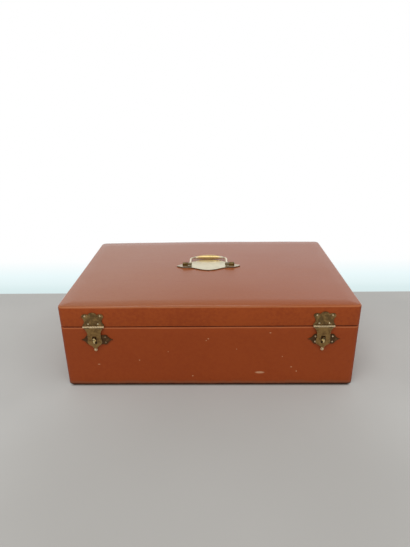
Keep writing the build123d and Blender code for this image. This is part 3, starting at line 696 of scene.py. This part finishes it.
def layMesh(low, high):
    # an even grid of cuts, so that the surface can be pulled about
    pitch, ends = coverSpec["meshPitch"], coverSpec["meshEnds"]
    inner = coverSpec["corner"] + coverSpec["meshInset"]
    cutAcross(0, evenly(low.x + inner, high.x - inner, pitch))
    cutAcross(1, evenly(low.y + inner, high.y - inner, pitch))
    cutAcross(2, evenly(low.z + ends, high.z - ends, pitch))


def pullAbout(block, seed, low, high, lift=None):
    # the small unevenness of leather pasted over boards by hand, kept inside the solid's box
    for vertex in block.data.vertices:
        point = vertex.co.copy()
        place = point * coverSpec["unevenScale"]
        shift = Vector([noise.noise(place + Vector((seed + 9 * axis, 3, 1))) for axis in range(3)])
        vertex.co += shift * coverSpec["unevenness"]
        if lift:
            vertex.co.z += lift(point)
        for axis in range(3):
            vertex.co[axis] = min(max(vertex.co[axis], low[axis]), high[axis])


def thickenCover(cover):
    applyModifier(cover, "SOLIDIFY", thickness=coverSpec["leather"], offset=-1.0, use_even_offset=True)


def baseCover():
    low, high = baseCadLow, baseCadHigh
    margin = Vector((coverSpec["unevenness"], coverSpec["unevenness"], 0))
    cover = coverBlock(low + margin, high - margin, coverSpec["baseRimRound"], coverSpec["footRound"])
    openFace(cover, high.z, coverSpec["rim"] - coverSpec["baseRimRound"] - margin.x)
    openFace(cover, low.z, coverSpec["turnIn"] - coverSpec["footRound"] - margin.x)
    layMesh(low, high)
    pullAbout(cover, coverSpec["baseSeed"], low, high)
    thickenCover(cover)
    finishPiece(cover, "baseLeatherCover", "baseLeather", "base", ["base_leather_wrap"])


def lidCover():
    low, high = lidCadLow, lidCadHigh
    margin = Vector((coverSpec["unevenness"], coverSpec["unevenness"], 0))
    top = Vector((high.x, high.y, high.z - coverSpec["crownAlong"]))
    cover = coverBlock(low + margin, top - margin, coverSpec["topRound"], coverSpec["lidRimRound"])
    openFace(cover, low.z, coverSpec["rim"] - coverSpec["lidRimRound"] - margin.x)
    layMesh(low, top)

    def crown(point):
        start = low.z + coverSpec["crownStart"]
        lift = max(0.0, (point.z - start) / (top.z - start))
        along = 1 - (point.x / high.x) ** 2
        deep = 1 - (point.y / high.y) ** 2
        return lift * (coverSpec["crownAlong"] * along - coverSpec["crownDeep"] * (1 - deep) * along)

    pullAbout(cover, coverSpec["lidSeed"], low, high, crown)
    thickenCover(cover)
    finishPiece(cover, "lidLeatherCover", "lidLeather", "lid", ["lid_leather_wrap"])


baseCover()
lidCover()
print("leather covers made")

# Metal fittings, racks and the bottom cloth, all with eased edges

easedPieces = {
    # node: paint, body, slot, edge width in mm and the paint of a rubbed edge, also a painted highlight
    "hasp_plate_left": ("plateBrass", "lid", "aged_brass", 0.42, "rubbedEdge"),
    "hasp_plate_right": ("plateBrass", "lid", "aged_brass", 0.42, "rubbedEdge"),
    "hasp_leaf_left": ("leafBrass", "hasp_left", "aged_brass", 0.42, "rubbedEdge"),
    "hasp_leaf_right": ("leafBrass", "hasp_right", "aged_brass", 0.42, "rubbedEdge"),
    "turn_button_left": ("brightBrass", "button_left", "polished_brass", 0.45),
    "turn_button_right": ("brightBrass", "button_right", "polished_brass", 0.45),
    "catch_plate_left": ("catchBrass", "base", "aged_brass", 0.22),
    "catch_plate_right": ("catchBrass", "base", "aged_brass", 0.22),
    "handle_plate": ("paleBrass", "lid", "polished_brass", 0.35),
    "handle_boss_left": ("darkBrass", "lid", "polished_brass", 0.2),
    "handle_boss_right": ("darkBrass", "lid", "polished_brass", 0.2),
    "hinge_base_leaf_left": ("hingeBrass", "base", "aged_brass", 0.2),
    "hinge_base_leaf_right": ("hingeBrass", "base", "aged_brass", 0.2),
    "hinge_lid_leaf_left": ("hingeBrass", "lid", "aged_brass", 0.2),
    "hinge_lid_leaf_right": ("hingeBrass", "lid", "aged_brass", 0.2),
    "rack_rail_front": ("velvet", "base", "velvet", 1.2),
    "rack_rail_back": ("velvet", "base", "velvet", 1.2),
    "compartment_partition": ("velvet", "base", "velvet", 0.8),
    "base_bottom_cover": ("bookCloth", "base", "bottom_cloth", 0.3),
}
for nodeName, (paintName, body, slot, width, *edgePaint) in easedPieces.items():
    easedCopy(nodeName, nodeName + "_eased", paintName, body, slot, width * mm, *edgePaint)
print("fittings and racks eased:", len(easedPieces))

# The bail, with the soft bow that its grip has

bailSpec = {
    "bowOut": 2.0 * mm,
    "cornerIn": 4.2 * mm,
    "cutPitch": 2.2 * mm,
    "stubEnd": 0.5 * mm,  # how much of the stubs and of the grip is read to find their middles
    "gripEnd": 5.0 * mm,
    "smoothAngle": 35,
}


def middleOf(places):
    low = Vector([min(place[axis] for place in places) for axis in range(3)])
    high = Vector([max(place[axis] for place in places) for axis in range(3)])
    return (low + high) / 2


def bowedBail():
    bail = mergedCopy("handle_bail")
    points = bail.data.vertices
    sideways = lambda point: abs(point.co.x - handleMiddle.x)
    widest = max(sideways(point) for point in points)
    farthest = max(point.co.y for point in points)
    pivot = middleOf([point.co for point in points if sideways(point) > widest - bailSpec["stubEnd"]])
    grip = middleOf([point.co for point in points if point.co.y > farthest - bailSpec["gripEnd"]])
    reach = grip - pivot
    reach.x = 0
    outward = reach.normalized()
    outerHalf = [point for point in points if (point.co - pivot).dot(outward) > 0.5 * reach.length]
    halfWidth = max(sideways(point) for point in outerHalf)
    cutAcross(0, evenly(handleMiddle.x - halfWidth, handleMiddle.x + halfWidth, bailSpec["cutPitch"]))
    for point in bail.data.vertices:
        along = min(1.0, max(0.0, (point.co - pivot).dot(outward) / reach.length))
        across = min(1.0, sideways(point) / halfWidth)
        bow = (bailSpec["bowOut"] + bailSpec["cornerIn"]) * (1 - across ** 2) - bailSpec["cornerIn"]
        point.co += outward * bow * along
    finishPiece(bail, "handle_bail_bowed", "bailBrass", "handle", ["handle_bail"],
                bailSpec["smoothAngle"])


bowedBail()
print("bail bowed")

# Velvet on the walls, and the two velvet pads

velvetSpec = {
    "baseWall": 2.5 * mm,
    "lidWall": 2.0 * mm,
    "edge": 0.7 * mm,
    "padEdge": 0.8 * mm,
    "padCrown": 0.7 * mm,
    "padPitch": 13.0 * mm,
    "padInset": 4.0 * mm,
    "padFall": 12.0 * mm,
    "dimple": 0.12 * mm,
    "dimpleScale": 30,
    "smoothAngle": 60,
}


def roundedSlab(low, high, radius):
    slab = addBox(low, high)
    bpy.ops.object.mode_set(mode="EDIT")
    bpy.ops.mesh.select_all(action="SELECT")
    bpy.ops.mesh.bevel(offset=radius, segments=3, affect="EDGES")
    bpy.ops.object.mode_set(mode="OBJECT")
    return slab


def wallStrips(nodeName, wall, body):
    # velvet-covered card: the front and back strips run right across, the side ones stand between them
    low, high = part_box(nodeName)
    deep = Vector((0, wall, 0))
    corners = [
        (low, Vector((high.x, low.y + wall, high.z))), (Vector((low.x, high.y - wall, low.z)), high),
        (low + deep, Vector((low.x + wall, high.y - wall, high.z))),
        (Vector((high.x - wall, low.y + wall, low.z)), high - deep)]
    strips = [roundedSlab(start, end, velvetSpec["edge"]) for start, end in corners]
    lining = joinAll(strips)
    finishPiece(lining, nodeName + "_velvet", "velvet", body, [nodeName], velvetSpec["smoothAngle"])


def velvetPad(nodeName, body, facing):
    # a thin pad, crowned on its open side and pulled down round its edges
    low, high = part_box(nodeName)
    pad = roundedSlab(low, high, velvetSpec["padEdge"])
    for axis in (0, 1):
        start, end = low[axis] + velvetSpec["padInset"], high[axis] - velvetSpec["padInset"]
        cutAcross(axis, evenly(start, end, velvetSpec["padPitch"]) + [start, end])
    level = high.z if facing > 0 else low.z
    for vertex in pad.data.vertices:
        if abs(vertex.co.z - level) > 0.1 * mm:
            continue
        edge = min(high.x - abs(vertex.co.x), high.y - abs(vertex.co.y))
        fall = velvetSpec["padCrown"] * math.exp(-max(edge, 0) / velvetSpec["padFall"])
        dimple = velvetSpec["dimple"] * (1 + noise.noise(vertex.co * velvetSpec["dimpleScale"]))
        vertex.co.z -= facing * (fall + dimple)
    finishPiece(pad, nodeName + "_pad", "velvet", body, [nodeName], velvetSpec["smoothAngle"])


wallStrips("base_wall_lining", velvetSpec["baseWall"], "base")
wallStrips("lid_wall_lining", velvetSpec["lidWall"], "lid")
velvetPad("base_floor_lining", "base", 1)
velvetPad("lid_top_lining", "lid", -1)
print("velvet linings made")

# Domed brass heads on the latch nails

nailSpec = {
    "radius": 1.35 * mm,
    "height": 0.85 * mm,
    "shank": 0.45 * mm,
    "length": 6.8 * mm,
    "headSides": 20,
    "headRings": 12,
    "shankSides": 8,
    "smoothAngle": 40,
}


def domedNails(nodeName, body, paintName):
    spec = nailSpec
    forwards = (math.pi / 2, 0, 0)
    parts = []
    for corners in looseParts(nodeName):
        middle = sum(corners, Vector()) / 8
        front = min(corner.y for corner in corners)
        seat = Vector((middle.x, front + spec["height"], middle.z))
        bpy.ops.mesh.primitive_uv_sphere_add(segments=spec["headSides"], ring_count=spec["headRings"],
                                             radius=1, location=seat, rotation=forwards)
        head = bpy.context.object
        head.scale = (spec["radius"], spec["radius"], spec["height"])
        settle()
        bpy.ops.object.mode_set(mode="EDIT")
        bpy.ops.mesh.select_all(action="SELECT")
        bpy.ops.mesh.bisect(plane_co=seat, plane_no=(0, 1, 0), clear_outer=True, use_fill=True)
        bpy.ops.object.mode_set(mode="OBJECT")
        parts.append(head)
        bpy.ops.mesh.primitive_cylinder_add(vertices=spec["shankSides"], radius=spec["shank"],
                                            depth=spec["length"], rotation=forwards,
                                            location=seat + Vector((0, spec["length"] / 2, 0)))
        settle()
        parts.append(bpy.context.object)
    finishPiece(joinAll(parts), nodeName + "_domed", paintName, body, [nodeName],
                spec["smoothAngle"])


domedNails("hasp_plate_nails", "lid", "nailBrass")
domedNails("catch_plate_nails", "base", "catchNailBrass")
print("nails made")

# Countersunk screws of the hinges, each with a slot at its own angle

screwSpec = {
    "head": 2.38 * mm,
    "shank": 1.3 * mm,
    "sink": 1.3 * mm,
    "length": 12 * mm,
    "slotWidth": 0.7 * mm,
    "slotDepth": 0.6 * mm,
    "sides": 24,
    "firstTurn": 0.4,
    "nextTurn": 1.1,
    "smoothAngle": 40,
}


def slottedScrew():
    # one screw with a tapered head that faces up
    spec = screwSpec
    deselectAll()
    bpy.ops.mesh.primitive_cylinder_add(vertices=spec["sides"], radius=spec["head"], depth=spec["sink"],
                                        location=(0, 0, -spec["sink"] / 2))
    screw = bpy.context.object
    chooseFaces(screw, lambda face: face.normal.z < -0.9)
    taper = spec["shank"] / spec["head"]
    bpy.ops.transform.resize(value=(taper, taper, 1))
    bpy.ops.mesh.extrude_region_move(TRANSFORM_OT_translate={"value": (0, 0, spec["sink"] - spec["length"])})
    bpy.ops.object.mode_set(mode="OBJECT")
    halfCut = Vector((1.5 * spec["head"], spec["slotWidth"] / 2, spec["slotDepth"]))
    cutter = addBox(-halfCut, halfCut)
    applyModifier(screw, "BOOLEAN", operation="DIFFERENCE", object=cutter, solver="EXACT")
    bpy.data.objects.remove(cutter)
    return screw


def slottedScrews(nodeName, body, facing):
    spec = screwSpec
    pattern = slottedScrew()
    screws = []
    for turn, corners in enumerate(looseParts(nodeName)):
        middle = sum(corners, Vector()) / 8
        seat = max(facing * corner.z for corner in corners) * facing
        screw = pattern.copy()
        screw.data = pattern.data.copy()
        bpy.context.scene.collection.objects.link(screw)
        flip = 0 if facing > 0 else math.pi
        screw.rotation_euler = (flip, 0, spec["firstTurn"] + spec["nextTurn"] * turn)
        # the pattern's origin lies half its sink below its top, so the heads stand proud by that much
        screw.location = (middle.x, middle.y, seat)
        pick(screw)
        settle()
        screws.append(screw)
    bpy.data.objects.remove(pattern)
    finishPiece(joinAll(screws), nodeName + "_slotted", "hingeBrass", body, [nodeName],
                spec["smoothAngle"])


slottedScrews("hinge_base_screws", "base", 1)
slottedScrews("hinge_lid_screws", "lid", -1)
print("screws made")

# Nodes that stay as they are get their finish

keptFinishes = {
    "steel": ["hasp_pin_left", "hasp_pin_right", "hinge_pin_left", "hinge_pin_right", "handle_nuts",
              "handle_washers"],
    "wood": ["base_front_board", "base_back_board", "base_left_board", "base_right_board", "lid_top_panel"],
    "stainedWood": ["lid_front_board", "lid_back_board", "lid_left_board", "lid_right_board",
                    "base_bottom_board"],
}
keptSmoothAngle = math.radians(35)
for paintName, names in keptFinishes.items():
    for nodeName in names:
        node = nodes[nodeName]
        node.data.materials.clear()
        node.data.materials.append(paints[paintName])
        pick(node)
        bpy.ops.object.shade_smooth_by_angle(angle=keptSmoothAngle)
print("finishes given to the kept nodes")


# Table top, background and light

room = {
    "tableEdge": 0.186,
    "table": colour(0.425, 0.420, 0.400),
    "tablePale": colour(0.520, 0.512, 0.486),
    # a soft painted shadow on the table in front of the case
    "shaded": colour(0.385, 0.372, 0.348),
    "shadeDistance": 0.36,
    "shadeReach": (0.27, 0.20),
    "shadeStrength": 0.75,
    # the painted contact shadow where the case stands on the table
    "paintedContactShadow": colour(0.075, 0.05, 0.035),
    "contactReach": (-0.5 * mm, 4.5 * mm),
    "contactEnd": (-10.0 * mm, -3.0 * mm),
    # the white wall behind, by how far back its ray meets the table's level
    "wallStops": [
        (0.186, (0.70, 0.83, 0.84)), (0.211, (0.72, 0.855, 0.863)), (0.238, (0.78, 0.905, 0.915)),
        (0.286, (0.84, 0.955, 0.97)), (0.385, (0.99, 1.0, 1.0)), (0.45, (1.0, 1.0, 1.0))],
    # light on the object, and what mirrors see: in front, at the back and above the wall
    "light": colour(0.985, 0.99, 1.0),
    "fillFront": 1.0,
    "fillBack": 0.70,
    "mirrorFront": 0.10,
    "mirrorBack": 1.0,
    "mirrorHigh": 0.25,
    "fillFade": (-0.7, 0.7),
    "mirrorFade": (-0.15, 0.35),
    "wallTop": (0.415, 0.515),
}


def tableTop():
    deselectAll()
    bpy.ops.mesh.primitive_plane_add(size=40, location=(0, 0, 0))
    table = bpy.context.object
    table.name = "tableTop"
    paint = Paint("tableTop", IOR=1.4, Specular_IOR_Level=0.2)
    clouds = paint.noise(5, 3, 0.5)
    tone = paint.mix(clouds, room["table"], room["tablePale"])
    across = paint.x / room["shadeReach"][0]
    along = (paint.y + room["shadeDistance"]) / room["shadeReach"][1]
    shade = 1 - paint.step(across * across + along * along, 0.2, 1.7)
    tone = paint.mix(shade * room["shadeStrength"], tone, room["shaded"])
    underEdge = 1 - paint.step(abs(paint.y) - baseCadHigh.y, *room["contactReach"])
    alongEdge = 1 - paint.step(abs(paint.x) - baseCadHigh.x, *room["contactEnd"])
    tone = paint.mix(underEdge * alongEdge, tone, room["paintedContactShadow"])
    paint.use(Base_Color=tone, Roughness=0.7 + clouds * 0.1)
    far, near = room["wallStops"][-1][0], room["wallStops"][0][0]
    stops = [((place - near) / (far - near), colour(*tint)) for place, tint in room["wallStops"]]
    wall = paint.node("ValToRGB", {"stops": stops}, {"Fac": (paint.y - near) / (far - near)})
    white = paint.node("Emission", inputs={"Color": wall, "Strength": 1.0})
    beyond = paint.step(paint.y, room["tableEdge"] - 0.002, room["tableEdge"] + 0.001)
    rays = paint.node("LightPath").socket.node.outputs
    seen = paint.high(Value(paint, rays["Is Camera Ray"]), Value(paint, rays["Is Glossy Ray"]))
    surface = Value(paint, paint.shader.outputs[0])
    mixed = paint.node("MixShader", inputs={0: beyond * seen, 1: surface, 2: white})
    paint.tree.links.new(mixed.socket, paint.output.inputs["Surface"])
    table.data.materials.append(paint.material)


def surroundings():
    # a plain even fill, and for reflections a white wall at the back and a dim room in front
    world = bpy.data.worlds.new("studio")
    bpy.context.scene.world = world
    world.use_nodes = True
    tree = world.node_tree
    tree.nodes.clear()

    def add(kind, **inputs):
        made = tree.nodes.new("ShaderNode" + kind)
        for name, value in inputs.items():
            made.inputs[name.replace("_", " ")].default_value = value
        return made

    def join(source, target):
        tree.links.new(source, target)

    place = add("TexCoord")
    split = add("SeparateXYZ")
    join(place.outputs["Generated"], split.inputs[0])
    levels = {}
    for name in ("fill", "mirror"):
        fade = add("MapRange", To_Min=room[name + "Front"], To_Max=room[name + "Back"])
        fade.inputs["From Min"].default_value, fade.inputs["From Max"].default_value = room[name + "Fade"]
        fade.interpolation_type = "SMOOTHSTEP"
        join(split.outputs["Y"], fade.inputs["Value"])
        levels[name] = fade.outputs[0]
    # the wall is only so high: what mirrors look for above it is dimmer
    above = add("MapRange", To_Min=1.0, To_Max=room["mirrorHigh"])
    above.inputs["From Min"].default_value, above.inputs["From Max"].default_value = room["wallTop"]
    join(split.outputs["Z"], above.inputs["Value"])
    wall = add("Math")
    wall.operation = "MULTIPLY"
    join(levels["mirror"], wall.inputs[0])
    join(above.outputs[0], wall.inputs[1])
    rays = add("LightPath")
    choose = add("Mix")
    join(rays.outputs["Is Glossy Ray"], choose.inputs[0])
    join(levels["fill"], choose.inputs[2])
    join(wall.outputs[0], choose.inputs[3])
    lit = add("Background", Color=room["light"])
    join(choose.outputs[0], lit.inputs["Strength"])
    seen = add("Background", Color=colour(1, 1, 1))
    output = add("OutputWorld")
    mixed = add("MixShader")
    join(rays.outputs["Is Camera Ray"], mixed.inputs[0])
    join(lit.outputs[0], mixed.inputs[1])
    join(seen.outputs[0], mixed.inputs[2])
    join(mixed.outputs[0], output.inputs["Surface"])


lamp = {"name": "ceiling", "at": (-0.15, -0.75, 1.55), "towards": (0.0, 0.0, 0.05), "size": 0.9, "watts": 8.0}


def addLamp():
    bpy.ops.object.light_add(type="AREA", location=lamp["at"])
    light = bpy.context.object
    light.name = lamp["name"]
    light.data.size = lamp["size"]
    light.data.energy = lamp["watts"]
    aim = Vector(lamp["towards"]) - Vector(lamp["at"])
    light.rotation_euler = aim.to_track_quat("-Z", "Y").to_euler()


# Camera of the photograph, fitted to the edges of the case

photo = {
    "height": 547,  # in pixels, as is the focal length
    "focal": 431.60,
    "sensor": 36.0,
    "place": (0.00798, -0.67922, 0.40578),
    "pitch": -22.601,
    "yaw": 1.304,
    "roll": 0.908,
}


def addCamera():
    bpy.ops.object.camera_add()
    camera = bpy.context.object
    camera.name = "photoCamera"
    camera.data.sensor_fit = "AUTO"
    camera.data.sensor_width = photo["sensor"]
    camera.data.lens = photo["focal"] / photo["height"] * photo["sensor"]
    camera.data.clip_start = 0.01
    camera.data.clip_end = 50
    turn = Matrix.Rotation(math.radians(photo["yaw"]), 3, "Z")
    turn = turn @ Matrix.Rotation(math.radians(photo["pitch"]), 3, "X")
    turn = turn @ Matrix.Rotation(math.radians(photo["roll"]), 3, "Y")
    right, ahead, up = turn.col[0], turn.col[1], turn.col[2]
    frameOfCamera = Matrix((right, up, -ahead)).transposed().to_4x4()
    camera.matrix_world = Matrix.Translation(photo["place"]) @ frameOfCamera
    bpy.context.scene.camera = camera


tableTop()
surroundings()
addLamp()
addCamera()
bpy.context.scene.view_settings.view_transform = "Standard"
print("table, light and camera set")

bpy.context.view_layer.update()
deselectAll()
